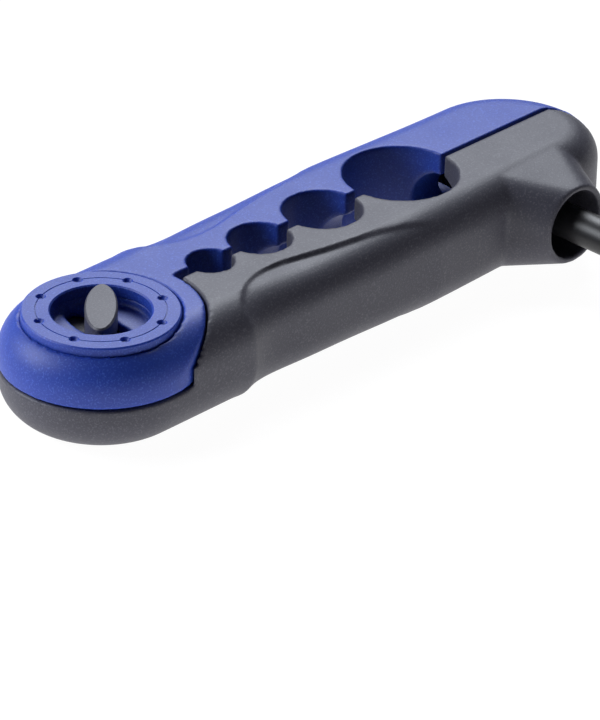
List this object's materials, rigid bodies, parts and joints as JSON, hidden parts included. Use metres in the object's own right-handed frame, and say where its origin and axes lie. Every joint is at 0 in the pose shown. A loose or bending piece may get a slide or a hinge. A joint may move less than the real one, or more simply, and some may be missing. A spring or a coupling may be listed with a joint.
{
  "type": "fishing line winder",
  "caption": "Hand-held fishing line winder: two hinged arms clamp a rod in graded holes, and a spindle with a cone and wing knob carries the line spool.",
  "frame": {"origin": "on the axis of the largest rod hole, at the back face on which the winder lies", "axes": "+X from the hinge to the crown end, +Y to the blue arm's side, -Y to the grey arm's side with the spindle boss, +Z out of the front face, along the rod holes and the hinge"},
  "size_m": [0.162, 0.1592, 0.024],
  "materials": {
    "blue_plastic": "fine-textured moulded plastic, smooth in the holes",
    "grey_plastic": "fine-textured moulded plastic",
    "black_plastic": "satin moulded plastic",
    "black_rubber": "matt",
    "steel": "zinc plated",
    "brass": "turned"
  },
  "bodies": {
    "grey_half": {"grey_arm": "grey_plastic", "back_ring": "grey_plastic", "back_cover": "grey_plastic", "hinge_key": "grey_plastic", "key_screw": "steel", "screw_washer": "steel", "spindle_bush": "black_plastic"},
    "blue_half": {"blue_arm": "blue_plastic", "front_ring": "blue_plastic", "crown_collar": "blue_plastic"},
    "spindle": {"spindle_shaft": "black_plastic", "spindle_tip": "black_plastic", "lock_nut": "steel", "thrust_washer": "steel"},
    "cone": {"spool_cone": "black_plastic", "drag_washer": "black_rubber"},
    "knob": {"wing_knob": "black_plastic", "knob_insert": "brass", "knob_cap": "black_plastic"}
  },
  "joints": [
    {"name": "arm_hinge", "type": "hinge", "parent": "grey_half", "child": "blue_half", "pos_m": [-0.0874, 0, 0.0115], "axis": [0, 0, 1], "range_deg": [0, 120]},
    {"name": "spindle_slide", "type": "slide", "parent": "grey_half", "child": "spindle", "axis": [0, -1, 0], "range_m": [0, 0.044]},
    {"name": "cone_spin", "type": "hinge", "parent": "spindle", "child": "cone", "pos_m": [0.0261, -0.11, 0.0115], "axis": [0, -1, 0], "continuous": true},
    {"name": "knob_spin", "type": "hinge", "parent": "spindle", "child": "knob", "pos_m": [0.0261, -0.13, 0.0115], "axis": [0, -1, 0], "continuous": true}
  ]
}
